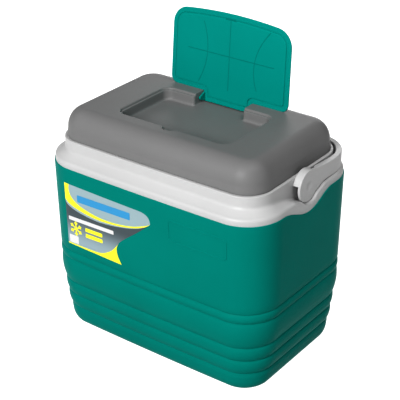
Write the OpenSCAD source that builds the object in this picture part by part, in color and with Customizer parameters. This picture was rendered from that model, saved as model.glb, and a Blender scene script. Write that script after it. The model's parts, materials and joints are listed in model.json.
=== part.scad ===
// Hand-carry cooler box with a storage tray in its lid, a flip-up hatch over the tray and a swing bail.
// X runs along the box, -Y is the front, +Z is up. The origin is the middle of the underside.
// An "inset" is a distance inwards from the outline of the body's top edge, measured square to it.

/* [Body] */
// Length of the body at its top edge
body_l = 438; // [400:1:540]
// Width of the body at its top edge, front to back
body_w = 288; // [270:1:360]
// Height of the outer shell, up to the collar
shell_h = 310; // [290:1:390]
// Radius of the body's upright corners at the top edge
corner_r = 65; // [60:1:72]
// How far the walls lean in, per 100 mm of height
draft = 1.46; // [0.8:0.02:2]
// Wall of the outer shell
shell_t = 2.4; // [1.8:0.1:3.2]
// How far in the underside's edge lies
foot_inset = 30; // [26:0.1:34]
// Height of the rounded foot
foot_h = 24; // [18:1:26]

/* [Wall ribs] */
// Height of the highest groove
groove_a_z = 153.4; // [145:0.1:165]
// Height of the second groove
groove_b_z = 137; // [125:0.1:142]
// Height of the groove under the wide band
groove_c_z = 88.2; // [82:0.1:98]
// Height of the groove between the two beads
groove_d_z = 62.4; // [56:0.1:68]
// Height of the lowest groove
groove_e_z = 35.8; // [30:0.1:42]
// Inset of the highest groove
groove_a_in = 4.4; // [3.5:0.1:6]
// Inset of the second groove
groove_b_in = 4.6; // [3.5:0.1:6]
// Inset of the groove under the wide band
groove_c_in = 9; // [7:0.1:10]
// Inset of the groove between the two beads
groove_d_in = 12; // [10:0.1:13.5]
// Inset of the lowest groove
groove_e_in = 15.8; // [14:0.1:17]

/* [Insulation] */
// Wall of the inner liner
liner_t = 2; // [1.6:0.1:3]
// Height of the tub's floor
tub_floor_z = 20; // [16:1:30]
// Radius between the tub's wall and its floor
tub_fillet = 16; // [8:1:20]
// Radius of the foam filling plugs
plug_r = 9; // [6:0.5:12]

/* [Collar] */
// Height of the collar's rim above the shell
collar_h = 40; // [36:1:50]
// Inset of the collar's upright wall
rim_inset = 19.3; // [18:0.1:24]
// Wall of the collar
collar_t = 3; // [2:0.1:4]
// How far the collar's flange drops around each handle hub
lobe_drop = 20; // [16:0.5:24]
// Reach of that drop towards the front
lobe_front_w = 74; // [60:1:75]
// Reach of that drop towards the back
lobe_back_w = 66; // [60:1:75]

/* [Handle] */
// Height of the handle's pivot above the shell
pivot_rise = 21; // [20:0.5:24]
// Radius of the hub disc
hub_r = 26.5; // [24:0.5:27]
// Thickness of the hub disc
hub_t = 4.2; // [3:0.1:6]
// Radius of the pivot pin moulded on the hub
pin_r = 5; // [4:0.1:6]
// Inset of the handle's outer face
bail_inset = 5.5; // [4.5:0.1:6]
// Thickness of the handle's band
bail_t = 7.5; // [6:0.1:8]
// Height of the handle's top edge above the pivot when it is folded
bail_top = 18.5; // [16:0.5:22]
// Thickness of the skirt round the top of the hub
skirt_t = 3; // [2:0.1:4]

/* [Lid] */
// Height of the lid above the collar's rim
lid_h = 47.5; // [40:0.5:60]
// How far the lid's lower edge lies inside the collar's wall
lid_step = 4.2; // [3:0.1:5]
// Wall of the lid's outer shell
lid_t = 2.2; // [1.8:0.1:3]
// Half length of the storage tray
tray_half_l = 111; // [90:1:118]
// Front edge of the storage tray
tray_front = -71.5; // [-78:0.5:-60]
// Rear edge of the storage tray
tray_back = 60; // [50:0.5:62]
// Depth of the storage tray
tray_depth = 20; // [16:0.5:24]
// Corner radius of the storage tray
tray_r = 16; // [8:1:24]
// Half length of the notch behind the tray that the hatch's tab swings in
notch_half_l = 49; // [40:0.5:60]
// Depth that the lid's plug reaches into the tub
lid_plug_h = 15; // [10:1:20]

/* [Hatch] */
// Half length of the hatch
hatch_half_l = 116; // [100:1:122]
// Thickness of the hatch
hatch_t = 3; // [2.4:0.1:4]
// Hinge axis, distance behind the middle of the lid
hinge_y = 72.5; // [71:0.5:74]
// Hinge axis, distance below the lid's top
hinge_drop = 9.9; // [9:0.1:11]
// Radius of the hatch's hinge pins
hatch_pin_r = 2.5; // [2:0.1:3]
// How far the hatch opens
hatch_open = 94; // [90:1:95]

/* [Clearances] */
// Clearance of a pin in its bore
pin_gap = 0.05; // [0.02:0.01:0.1]
// Clearance between parts that lie beside each other
part_gap = 0.3; // [0.2:0.05:0.5]
// Clearance of the handle's skirt from the collar's wall
skirt_gap = 0.2; // [0.15:0.05:0.5]
// Height of the handle above the collar's ledge
ledge_gap = 1.3; // [1:0.1:3]

/* [Hidden] */
$fn = 64;
tiny = 0.01;
// How far a cutting shape reaches past the surface that it cuts
over = 1;

teal = [0.0, 0.52, 0.48];
lid_grey = [0.43, 0.43, 0.43];
white_plastic = [0.85, 0.85, 0.85];
foam_cream = [0.93, 0.88, 0.72];

corner_x = body_l / 2 - corner_r;
corner_y = body_w / 2 - corner_r;
draft_angle = atan(draft / 100);

// How far each rib bulges out of the line between its grooves, from the foot upwards
foot_bulge = 0.8;
low_bead_bulge = 3.8;
high_bead_bulge = 3.4;
band_bulge = 4.4;
top_bead_bulge = 2.7;
foot_w = 15;
rib_steps = 5;
groove_rise = 4.6;
inside_foot_in = 1;
inside_heel_in = 3;

badge_l = 108;
badge_h = 36;
badge_x = 53;
badge_low = -62;
badge_border = 2.4;
badge_raise = 0.3;
badge_bury = 0.6;
front_cut = 6;

plug_neck = 1.5;
plug_neck_h = 4;
plug_room = 0.5;

rim_z = shell_h + collar_h;
ledge_low = shell_h + 7;
ledge_z = shell_h + 11;
ledge_top = shell_h + 17.5;
wall_foot = shell_h + 21;
ledge_round_in = 0.8;
ledge_round_z = 2.4;
ledge_edge_in = 3;
ledge_back = 2.3;
flange_inset = 1.6;
flange_back = 5;
tongue_h = 8;
tongue_in = shell_t + 0.6;
tongue_t = 2;
lip_w = 4.5;
lobe_y = -3;
lobe_steps = 48;
lobe_rise = 6;
lobe_face = 2;
lobe_back = 5;
lobe_cut = 14;

// The liner hangs under the collar's lip
liner_inset = rim_inset + collar_t + part_gap;
liner_top = rim_z - collar_t;
liner_draft = 1;

pivot_z = shell_h + pivot_rise;
hub_x = body_l / 2 - bail_inset;
hub_inner = hub_x - hub_t;
rim_x = body_l / 2 - rim_inset;
pocket_r = hub_r + 1;
dip_half_w = 100;
dip_low = pivot_z - pocket_r;
boss_r = 9;
boss_gap = 0.5;
boss_x = hub_inner - boss_gap;
boss_room = 3;
bore_reach = 30;
pin_start = rim_x - collar_t + 0.5;
dimple_r = 27;
dimple_depth = 1.2;
skirt_x = rim_x + skirt_gap;
skirt_end_angle = 55;
skirt_below = 2;
gusset_end = corner_y - 4;
gusset_rise = 5;
hub_tangent = 6;

lid_inset = rim_inset + lid_step;
lid_top = rim_z + lid_h;
lid_side_h = 14;
lid_side_in = 1.7;
dome_w = 28.2;
dome_steps = 8;
tray_floor = lid_top - tray_depth;
notch_back = hinge_y + 15.7;
thumb_half_l = 10;
thumb_depth = 9;
thumb_front = tray_front - 9;
thumb_r = 8;
thumb_join = 30;
lid_plug_gap = 1.4;
lid_plug_inset = rim_inset + collar_t + lip_w + lid_plug_gap;
lid_plug_bevel = 3;
lid_foam_gap = 0.6;
lid_floor = rim_z - lid_plug_h;

hinge_z = lid_top - hinge_drop;
hatch_gap = 0.2;
hatch_front = tray_front - 3.5;
hatch_back = hinge_y - 11.2;
tab_back = hinge_y + 7.8;
tab_gap = 0.6;
tab_half_l = notch_half_l - tab_gap;
tab_root = 10;
ear_r = 3.5;
ear_t = 3;
pin_reach = 3.2;
pin_end_room = 0.5;
hatch_r = 14;
field_in = 12;
field_back = 4;
field_t = 1.2;
field_r = 6;
hatch_boss_r = 5.5;
hatch_boss_h = 5;

// Inset of the plain drafted wall at a height
function wall_in(z) = draft * (shell_h - z) / 100;

// Points of a rib that bulges outwards between two groove bottoms, each [inset, height]
function rib(low, high, bulge) = [
    for (i = [1:rib_steps])
        let (t = i / (rib_steps + 1))
        low + t * (high - low) - [bulge * pow(sin(180 * t), 0.6), 0]
];

groove_a = [groove_a_in, groove_a_z];
groove_b = [groove_b_in, groove_b_z];
groove_c = [groove_c_in, groove_c_z];
groove_d = [groove_d_in, groove_d_z];
groove_e = [groove_e_in, groove_e_z];
foot_top = [foot_inset - foot_w, foot_h];

shell_outline = concat(
    [for (a = [90:-22.5:1]) [foot_inset - foot_w * cos(a), foot_h * (1 - sin(a))]],
    [foot_top],
    rib(foot_top, groove_e, foot_bulge), [groove_e],
    rib(groove_e, groove_d, low_bead_bulge), [groove_d],
    rib(groove_d, groove_c, high_bead_bulge), [groove_c],
    rib(groove_c, groove_b, band_bulge), [groove_b],
    rib(groove_b, groove_a, top_bead_bulge), [groove_a],
    [[wall_in(groove_a_z + groove_rise), groove_a_z + groove_rise], [0, shell_h]]
);

// The inside of the shell runs straight between the grooves
shell_inside = [
    [foot_inset + inside_foot_in, shell_t],
    [groove_e_in + shell_t + inside_heel_in, foot_h / 2],
    [groove_e_in + shell_t, groove_e_z],
    [groove_d_in + shell_t, groove_d_z],
    [groove_c_in + shell_t, groove_c_z],
    [groove_b_in + shell_t, groove_b_z],
    [groove_a_in + shell_t, groove_a_z],
    [shell_t, shell_h]
];

tub_under_z = tub_floor_z - liner_t;
tub_foot_in = liner_inset + liner_draft * (liner_top - tub_under_z) / 100;
tub_fillet_line = [
    for (a = [0:45:90])
        [tub_foot_in + tub_fillet * (1 - sin(a)), tub_under_z + tub_fillet * (1 - cos(a))]
];
liner_outline = concat(tub_fillet_line, [[liner_inset, liner_top]]);

function dome(t) = [
    for (i = [0:dome_steps])
        let (a = 90 * i / dome_steps)
        [lid_inset + lid_side_in + t + (dome_w - t) * (1 - cos(a)),
         rim_z + lid_side_h + (lid_h - lid_side_h - t) * sin(a)]
];

// Height of the dished ledge round a hub, at a distance along the end of the box
function dip_z(y) =
    let (ramp = dip_low + (wall_foot - dip_low) * sin(90 * min(abs(y) / dip_half_w, 1)))
    let (round = abs(y) < pocket_r ? pivot_z - sqrt(pocket_r * pocket_r - y * y) : ramp)
    min(ramp, round);

dip_line = [for (y = [-dip_half_w:4:dip_half_w]) [y, dip_z(y)]];

// Height of the flange's lower edge where it drops round a hub
function lobe_z(y) =
    let (reach = y < lobe_y ? lobe_front_w : lobe_back_w)
    shell_h - lobe_drop * (1 + cos(180 * (y - lobe_y) / reach)) / 2;

lobe_from = lobe_y - lobe_front_w;
lobe_to = lobe_y + lobe_back_w;

// A closed body whose wall follows a list of [inset, height] points from its foot to its top
module rounded_solid(outline) {
    low = outline[0][1];
    high = outline[len(outline) - 1][1];
    for (c = [[1, 1, 0], [-1, 1, 90], [-1, -1, 180], [1, -1, 270]])
        translate([c[0] * corner_x, c[1] * corner_y, 0])
            rotate([0, 0, c[2]])
                rotate_extrude(angle = 90)
                    polygon(concat([[0, low]], [for (p = outline) [corner_r - p[0], p[1]]], [[0, high]]));
    translate([-corner_x, 0, 0])
        rotate([90, 0, 90])
            linear_extrude(2 * corner_x)
                polygon(both_sides(outline, body_w / 2));
    translate([0, corner_y, 0])
        rotate([90, 0, 0])
            linear_extrude(2 * corner_y)
                polygon(both_sides(outline, body_l / 2));
}

function both_sides(outline, half) = concat(
    [for (p = outline) [half - p[0], p[1]]],
    [for (i = [len(outline) - 1:-1:0]) [outline[i][0] - half, outline[i][1]]]
);

// A section, as a closed loop of [inset, height] points, swept round one corner of the box
module corner_sweep(loop, x_side, y_side, turn) {
    translate([x_side * corner_x, y_side * corner_y, 0])
        rotate([0, 0, turn])
            rotate_extrude(angle = 90)
                polygon([for (p = loop) [corner_r - p[0], p[1]]]);
}

// The same section along the front or the back
module long_sweep(loop, side) {
    translate([-corner_x, 0, 0])
        rotate([90, 0, 90])
            linear_extrude(2 * corner_x)
                polygon([for (p = loop) [side * (body_w / 2 - p[0]), p[1]]]);
}

// The same section along an end, between two distances from the middle
module end_sweep(loop, side, from, to) {
    translate([0, to, 0])
        rotate([90, 0, 0])
            linear_extrude(to - from)
                polygon([for (p = loop) [side * (body_l / 2 - p[0]), p[1]]]);
}

module rounded_ring(loop) {
    corner_sweep(loop, 1, 1, 0);
    corner_sweep(loop, -1, 1, 90);
    corner_sweep(loop, -1, -1, 180);
    corner_sweep(loop, 1, -1, 270);
    for (side = [-1, 1]) {
        long_sweep(loop, side);
        end_sweep(loop, side, -corner_y, corner_y);
    }
}

// A flat outline in [distance along the end, height], made into a plate across an end of the box
module end_plate(x_from, x_to) {
    translate([x_from, 0, 0])
        rotate([90, 0, 90])
            linear_extrude(x_to - x_from)
                children();
}

module at_pivot(x) {
    translate([x, 0, pivot_z])
        rotate([0, 90, 0])
            children();
}

// Places a flat shape on the sloping front wall: x along the box, y up the wall from its top edge
module on_front() {
    translate([0, -body_w / 2, shell_h])
        rotate([90 + draft_angle, 0, 0])
            children();
}

module both_ends() {
    children();
    mirror([1, 0, 0])
        children();
}

// A block with rounded upright edges
module rounded_block(x_half, y_from, y_to, z_from, z_to, r) {
    translate([0, 0, z_from])
        linear_extrude(z_to - z_from) {
            translate([-x_half + r, y_from])
                square([2 * (x_half - r), y_to - y_from]);
            translate([-x_half, y_from + r])
                square([2 * x_half, y_to - y_from - 2 * r]);
            for (x = [-x_half + r, x_half - r])
                for (y = [y_from + r, y_to - r])
                    translate([x, y])
                        circle(r);
        }
}

module lobe_shape(grow) {
    line = [
        for (i = [0:lobe_steps])
            let (y = lobe_from + (lobe_to - lobe_from) * i / lobe_steps)
            [y, lobe_z(y) - grow]
    ];
    high = shell_h + lobe_rise;
    polygon(concat([[lobe_from, high]], line, [[lobe_to, high]]));
}

// A thin layer that follows the plain wall, between two distances out from it
module wall_layer(inside, outside) {
    low = groove_a_z + groove_rise;
    difference() {
        rounded_solid([[wall_in(low) - outside, low], [-outside, shell_h]]);
        rounded_solid([
            [wall_in(low - over) - inside, low - over],
            [wall_in(shell_h + over) - inside, shell_h + over]
        ]);
    }
}

// Keeps the part of a wall layer that lies behind a flat shape on the front
module cut_on_front() {
    on_front()
        translate([0, 0, -front_cut])
            linear_extrude(front_cut + over)
                children();
}

// Raised plain frame on the right of the front, with nothing written in it
module badge_frame() {
    intersection() {
        wall_layer(-badge_bury, badge_raise);
        cut_on_front()
            translate([badge_x, badge_low])
                difference() {
                    square([badge_l, badge_h]);
                    translate([badge_border, badge_border])
                        square([badge_l - 2 * badge_border, badge_h - 2 * badge_border]);
                }
    }
}

module outer_shell() {
    color(teal)
        difference() {
            union() {
                rounded_solid(shell_outline);
                badge_frame();
            }
            rounded_solid(concat(shell_inside, [[shell_t, shell_h + over]]));
            both_ends()
                end_plate(body_l / 2 - lobe_cut, body_l / 2 + over)
                    lobe_shape(part_gap);
            translate([0, 0, -over])
                cylinder(r = plug_r, h = shell_t + 2 * over);
        }
}

// Push-in plug in the hole that the foam is poured through
module foam_plug() {
    cylinder(r = plug_r, h = shell_t);
    translate([0, 0, shell_t])
        cylinder(r = plug_r - plug_neck, h = plug_neck_h);
}

module shell_plug() {
    color(white_plastic)
        foam_plug();
}

foam_top = shell_h - lobe_drop - 3.5;
foam_step_in = 9;
foam_step_top = dip_low - collar_t - 1.5;
foam_top_in = shell_t + groove_a_in * (shell_h - foam_top) / (shell_h - groove_a_z) + part_gap;

// Between the shell and the tub, with a step that clears the collar's tongue
foam_outline = concat(
    [for (i = [0:6]) shell_inside[i]],
    [[foam_top_in, foam_top], [foam_step_in, foam_top], [foam_step_in, foam_step_top]]
);

module body_foam() {
    color(foam_cream)
        difference() {
            rounded_solid(foam_outline);
            rounded_solid(liner_outline);
            translate([0, 0, shell_t - over])
                cylinder(r = plug_r, h = over + plug_neck_h + plug_room);
        }
}

module inner_liner() {
    color(white_plastic)
        difference() {
            rounded_solid(liner_outline);
            rounded_solid(concat(
                [for (p = tub_fillet_line) p + [liner_t, liner_t]],
                [[liner_inset + liner_t, liner_top + over]]
            ));
        }
}

collar_loop = [
    [flange_inset, shell_h],
    [flange_inset, ledge_low],
    [flange_inset + ledge_round_in, ledge_low + ledge_round_z],
    [flange_inset + ledge_edge_in, ledge_z],
    [rim_inset - ledge_back, ledge_top],
    [rim_inset, wall_foot],
    [rim_inset, rim_z],
    [rim_inset + collar_t + lip_w, rim_z],
    [rim_inset + collar_t + lip_w, liner_top],
    [rim_inset + collar_t, liner_top],
    [rim_inset + collar_t, wall_foot - collar_t / 2],
    [rim_inset, ledge_top - collar_t],
    [flange_inset + flange_back, ledge_z - collar_t],
    [tongue_in + tongue_t, ledge_low - collar_t / 2],
    [tongue_in + tongue_t, shell_h - tongue_h],
    [tongue_in, shell_h - tongue_h],
    [tongue_in, shell_h]
];

module dish_floor() {
    end_plate(rim_x - collar_t, body_l / 2 - flange_inset)
        polygon(concat(dip_line, [for (i = [len(dip_line) - 1:-1:0]) dip_line[i] - [0, collar_t]]));
}

module dish_wall() {
    end_plate(rim_x - collar_t, rim_x)
        polygon(concat(
            [for (p = dip_line) p - [0, collar_t]],
            [[dip_half_w, wall_foot + over], [-dip_half_w, wall_foot + over]]
        ));
}

module dish_space() {
    end_plate(rim_x, body_l / 2 + over)
        polygon(concat(dip_line, [[dip_half_w, rim_z + over], [-dip_half_w, rim_z + over]]));
}

// The dropped flange and the dished ledge at one end, kept inside the collar's own outline
module collar_end() {
    end_plate(body_l / 2 - lobe_back, body_l / 2 - lobe_face)
        lobe_shape(0);
    intersection() {
        union() {
            dish_floor();
            dish_wall();
        }
        rounded_solid(concat([[flange_inset, shell_h - collar_h]], [for (i = [1:6]) collar_loop[i]]));
    }
}

module collar() {
    color(white_plastic)
        difference() {
            union() {
                difference() {
                    union() {
                        rounded_ring(collar_loop);
                        both_ends()
                            collar_end();
                    }
                    both_ends()
                        dish_space();
                }
                both_ends()
                    at_pivot(rim_x - collar_t)
                        cylinder(r = boss_r, h = boss_x - rim_x + collar_t);
            }
            both_ends()
                at_pivot(rim_x - collar_t - over)
                    cylinder(r = pin_r + pin_gap, h = bore_reach);
        }
}

bail_low = ledge_z + 1.6;
bail_loop = [
    [bail_inset, bail_low],
    [bail_inset, pivot_z + bail_top],
    [bail_inset + bail_t, pivot_z + bail_top],
    [bail_inset + bail_t, bail_low + gusset_rise]
];

gusset_line = [for (y = [0:4:gusset_end]) [y, min(dip_z(y) + ledge_gap, bail_low + gusset_rise)]];
arm_top = [
    [gusset_end, pivot_z + bail_top],
    [hub_r * sin(hub_tangent), pivot_z + hub_r * cos(hub_tangent)],
    [0, pivot_z]
];

// Hub, skirt and arm at one end, with the pin that turns in the collar
module handle_end() {
    difference() {
        union() {
            at_pivot(hub_inner)
                cylinder(r = hub_r, h = hub_t);
            end_sweep(bail_loop, 1, 0, corner_y);
            end_plate(hub_x - bail_t, hub_x)
                polygon(concat(gusset_line, arm_top));
            end_plate(skirt_x, hub_inner + over)
                translate([0, pivot_z])
                    skirt_shape();
        }
        at_pivot(rim_x - over)
            cylinder(r = boss_r + boss_room, h = hub_inner - rim_x + over);
        end_plate(rim_x - over, hub_inner)
            translate([-hub_r - over, pivot_z - hub_r - over])
                square([hub_r + over, hub_r + over - skirt_below]);
        translate([hub_x + dimple_r - dimple_depth, 0, pivot_z])
            sphere(r = dimple_r);
    }
    at_pivot(pin_start)
        cylinder(r = pin_r, h = hub_inner - pin_start + over);
}

// Half ring over the top of the hub
module skirt_shape() {
    reach = 2 * hub_r;
    difference() {
        circle(hub_r);
        circle(hub_r - skirt_t);
        translate([-reach, -reach - skirt_below])
            square([2 * reach, reach]);
        polygon([[0, 0], [reach * cos(skirt_end_angle), reach * sin(skirt_end_angle)], [reach, reach],
                 [reach, -reach], [0, -reach]]);
    }
}

module handle() {
    color(white_plastic)
        union() {
            both_ends()
                handle_end();
            corner_sweep(bail_loop, 1, 1, 0);
            corner_sweep(bail_loop, -1, 1, 90);
            long_sweep(bail_loop, 1);
        }
}

lid_outline = concat([[lid_inset, rim_z]], dome(0));
lid_inside = concat([[lid_inset + lid_t, rim_z - over]], dome(lid_t));

// The tray, its notch and its thumb recess, grown outwards and downwards by a wall
module tray_space(grow) {
    high = grow > 0 ? lid_top - tiny : lid_top + over;
    low = tray_floor - grow;
    thumb_low = lid_top - thumb_depth - grow;
    rounded_block(tray_half_l + grow, tray_front - grow, tray_back + grow, low, high, tray_r + grow);
    translate([-notch_half_l - grow, tray_back - tray_r, low])
        cube([2 * (notch_half_l + grow), notch_back + grow - tray_back + tray_r, high - low]);
    rounded_block(thumb_half_l + grow, thumb_front - grow, tray_front + thumb_join, thumb_low, high,
                  thumb_r + grow);
}

module hatch_pin_shape(r, from, reach) {
    both_ends()
        translate([from, hinge_y, hinge_z])
            rotate([0, 90, 0])
                cylinder(r = r, h = reach);
}

module lid_shell() {
    color(lid_grey)
        difference() {
            union() {
                difference() {
                    rounded_solid(lid_outline);
                    rounded_solid(lid_inside);
                }
                tray_space(lid_t);
                hatch_pin_shape(hatch_boss_r, notch_half_l, hatch_boss_h);
            }
            tray_space(0);
            hatch_pin_shape(hatch_pin_r + pin_gap, notch_half_l - over, pin_reach + over + pin_end_room);
        }
}

// Inset of the inside of the lid's leaning edge at a height
function edge_inside(z) =
    lid_inset + lid_t + lid_side_in * (z - rim_z + over) / (lid_side_h + over);

lid_flange_in = edge_inside(rim_z + lid_t) + part_gap;
lid_liner_outside = [
    [lid_plug_inset + lid_plug_bevel, lid_floor],
    [lid_plug_inset, lid_floor + lid_plug_bevel],
    [lid_plug_inset, rim_z]
];
lid_liner_inside = [
    [lid_plug_inset + lid_plug_bevel + lid_t, lid_floor + lid_t],
    [lid_plug_inset + lid_t, lid_floor + lid_plug_bevel + lid_t],
    [lid_plug_inset + lid_t, rim_z + lid_t + over]
];

module lid_liner() {
    color(white_plastic)
        difference() {
            union() {
                rounded_solid(lid_liner_outside);
                rounded_solid([[lid_flange_in, rim_z], [lid_flange_in, rim_z + lid_t]]);
            }
            rounded_solid(lid_liner_inside);
            translate([0, 0, lid_floor - over])
                cylinder(r = plug_r, h = lid_t + 2 * over);
        }
}

module lid_plug() {
    color(white_plastic)
        translate([0, 0, lid_floor])
            cylinder(r = plug_r, h = lid_t + plug_room);
}

// Fills the lid between its liner, its dome and its tray
module lid_foam() {
    color(foam_cream)
        difference() {
            union() {
                rounded_solid([[lid_plug_inset + lid_t, lid_floor + lid_plug_bevel + lid_t],
                               [lid_plug_inset + lid_t, rim_z + lid_t]]);
                rounded_solid(concat([[lid_flange_in + lid_foam_gap, rim_z + lid_t]], dome(lid_t)));
            }
            tray_space(lid_t);
            hatch_pin_shape(hatch_boss_r, notch_half_l, hatch_boss_h);
        }
}

module hatch_closed() {
    plate_z = lid_top + hatch_gap;
    rounded_block(hatch_half_l, hatch_front, hatch_back, plate_z, plate_z + hatch_t, hatch_r);
    rounded_block(hatch_half_l - field_in, hatch_front + field_in, hatch_back - field_back,
                  plate_z - field_t, plate_z + over, field_r);
    translate([-tab_half_l, hatch_back - tab_root, plate_z])
        cube([2 * tab_half_l, tab_back - hatch_back + tab_root, hatch_t]);
    both_ends()
        translate([tab_half_l - ear_t, hinge_y - ear_r, hinge_z])
            cube([ear_t, 2 * ear_r, plate_z - hinge_z + over]);
    hatch_pin_shape(ear_r, tab_half_l - ear_t, ear_t);
    hatch_pin_shape(hatch_pin_r, tab_half_l - over, pin_reach + over);
}

// Standing open, where it leans back a little past upright
module hatch() {
    color(teal)
        translate([0, hinge_y, hinge_z])
            rotate([-hatch_open, 0, 0])
                translate([0, -hinge_y, -hinge_z])
                    hatch_closed();
}

label_t = 0.25;
label_outline = [
    [-164, -27], [-2, -28], [10, -32], [15.5, -40], [12, -50], [-6, -62],
    [-32, -82], [-47, -104], [-50, -120], [-47, -142], [-164, -139]
];

// Thin sticker on the left of the front, with a pointed right side
module front_label() {
    color([0.75, 0.8, 0.3])
        intersection() {
            wall_layer(0, label_t);
            cut_on_front()
                polygon(label_outline);
        }
}

outer_shell();
shell_plug();
body_foam();
inner_liner();
collar();
handle();
lid_shell();
lid_foam();
lid_liner();
lid_plug();
hatch();
front_label();
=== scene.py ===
"""Finished look of a hand-carry cooler box: moulded shells, collar, swing bail, hatch and sticker."""

import json
import math

import bmesh
import bpy
from bpy.props import FloatProperty, FloatVectorProperty, PointerProperty
from mathutils import Matrix, Vector
from mathutils.geometry import delaunay_2d_cdt


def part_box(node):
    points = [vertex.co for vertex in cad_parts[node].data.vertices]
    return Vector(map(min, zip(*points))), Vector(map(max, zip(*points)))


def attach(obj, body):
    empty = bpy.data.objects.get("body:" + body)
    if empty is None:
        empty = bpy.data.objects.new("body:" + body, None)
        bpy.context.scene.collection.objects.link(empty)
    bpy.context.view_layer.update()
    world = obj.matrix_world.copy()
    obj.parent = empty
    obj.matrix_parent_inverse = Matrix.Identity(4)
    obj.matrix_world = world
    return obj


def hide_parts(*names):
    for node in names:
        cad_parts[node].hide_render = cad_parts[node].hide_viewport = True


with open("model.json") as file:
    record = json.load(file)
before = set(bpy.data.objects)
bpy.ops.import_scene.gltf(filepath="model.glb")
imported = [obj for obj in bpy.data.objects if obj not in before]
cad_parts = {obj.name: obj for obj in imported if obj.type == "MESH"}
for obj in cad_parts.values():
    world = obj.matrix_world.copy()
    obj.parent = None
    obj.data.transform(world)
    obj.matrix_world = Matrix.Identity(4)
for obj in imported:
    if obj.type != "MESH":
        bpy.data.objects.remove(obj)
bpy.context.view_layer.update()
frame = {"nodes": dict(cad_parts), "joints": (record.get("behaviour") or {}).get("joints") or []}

bl_info = {
    "name": "Cooler Box Finish",
    "version": (1, 0, 0),
    "blender": (4, 5, 0),
    "location": "3D View > Sidebar > Cooler",
    "description": "Moulded shells, handle, hatch and sticker of a hand-carry cooler box",
    "category": "Add Mesh",
}

MM = 0.001
SHELL_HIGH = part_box("outer_shell")[1]
LID_LOW, LID_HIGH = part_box("lid_shell")
JOINTS = {joint["name"]: joint for joint in frame["joints"]}
PIVOT_Z = JOINTS["handle_swing"]["pos_m"][2]
HINGE_Y, HINGE_Z = JOINTS["hatch_hinge"]["pos_m"][1:]
HATCH_OPEN = math.radians(JOINTS["hatch_hinge"]["range_deg"][1])

HALF_L = SHELL_HIGH[0]
HALF_W = SHELL_HIGH[1]
SHELL_TOP = SHELL_HIGH[2]
RIM_Z = LID_LOW[2]
LID_TOP = LID_HIGH[2]

CORNER_R = 65 * MM
DRAFT = 0.0146
RIM_INSET = 19.3 * MM
RIM_WALL = 3 * MM
FLANGE_INSET = 1.6 * MM
END_SPLITS = 64
SIDE_SPLITS = 28
CORNER_STEPS = 16


# ---- outlines

def smooth_step(t):
    t = min(max(t, 0.0), 1.0)
    return t * t * (3 - 2 * t)


def quarter(steps):
    """Angles from 0 to a quarter turn."""
    return [math.pi / 2 * i / steps for i in range(steps + 1)]


def arc(radius_x, radius_y, steps):
    """Quarter round from (0, 0) across to (radius_x, radius_y), leaving straight up."""
    return [(radius_x * (1 - math.cos(a)), radius_y * math.sin(a)) for a in quarter(steps)]


def circle(radius, sides):
    turns = [2 * math.pi * i / sides for i in range(sides)]
    return [(radius * math.cos(a), radius * math.sin(a)) for a in turns]


def filleted(corners, offsets, steps=8, splits=None):
    """Outline of filleted (x, y, radius) corners, anticlockwise, each edge moved out by its offset."""
    count = len(corners)
    if not isinstance(offsets, (list, tuple)):
        offsets = [offsets] * count
    splits = splits or [1] * count
    edges = []
    for i, (x, y, _) in enumerate(corners):
        nx, ny, _ = corners[(i + 1) % count]
        along = Vector((nx - x, ny - y)).normalized()
        out = Vector((along.y, -along.x))
        edges.append((Vector((x, y)) + out * offsets[i], along))
    arcs = []
    for i, (_, _, radius) in enumerate(corners):
        (p, u), (q, v) = edges[i - 1], edges[i]
        cross = u.x * v.y - u.y * v.x
        corner = p + u * (((q - p).x * v.y - (q - p).y * v.x) / cross)
        side = 1 if cross > 0 else -1
        bend = math.atan2(cross, u.dot(v))
        size = max(radius + side * (offsets[i - 1] + offsets[i]) / 2, 0.05 * MM)
        start = corner - u * size * abs(math.tan(bend / 2))
        centre = start + Vector((-u.y, u.x)) * size * side
        spoke = start - centre
        arcs.append([centre + Matrix.Rotation(bend * k / steps, 2) @ spoke for k in range(steps + 1)])
    outline = []
    for i, points in enumerate(arcs):
        outline += points
        end, start = points[-1], arcs[(i + 1) % count][0]
        for k in range(1, splits[i]):
            outline.append(end.lerp(start, k / splits[i]))
    return [(p.x, p.y) for p in outline]


BODY_CORNERS = [(HALF_L, -HALF_W, CORNER_R), (HALF_L, HALF_W, CORNER_R),
                (-HALF_L, HALF_W, CORNER_R), (-HALF_L, -HALF_W, CORNER_R)]
BODY_SPLITS = [END_SPLITS, SIDE_SPLITS, END_SPLITS, SIDE_SPLITS]


def body_outline(inset):
    return filleted(BODY_CORNERS, -inset, CORNER_STEPS, BODY_SPLITS)


def bow(x, y, inset=0.0):
    """How far the long sides swell outwards at a place."""
    most = bpy.context.scene.cooler_sizes.wall_bow
    across = 1 - (x / HALF_L) ** 2
    reach = smooth_step((abs(y) - HALF_W + 60 * MM) / (40 * MM))
    inner = min(max((24 * MM - inset) / (4 * MM), 0.0), 1.0)
    return math.copysign(most * across * reach * inner, y)


def bowed(inset, z):
    """The body's outline at a height, with its swollen sides."""
    return [(x, y + bow(x, y), z) for x, y in body_outline(inset)]


def wall_inset(z):
    return DRAFT * (SHELL_TOP - z)


def front_wall(x, z, lift=0.0):
    """A point on the front wall, lifted off it by a little."""
    radius = CORNER_R - wall_inset(z)
    past = max(abs(x) - (HALF_L - CORNER_R), 0)
    y = CORNER_R - HALF_W - math.sqrt(radius ** 2 - past ** 2)
    return (x, y + bow(x, y) - lift, z)


# ---- meshes

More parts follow.
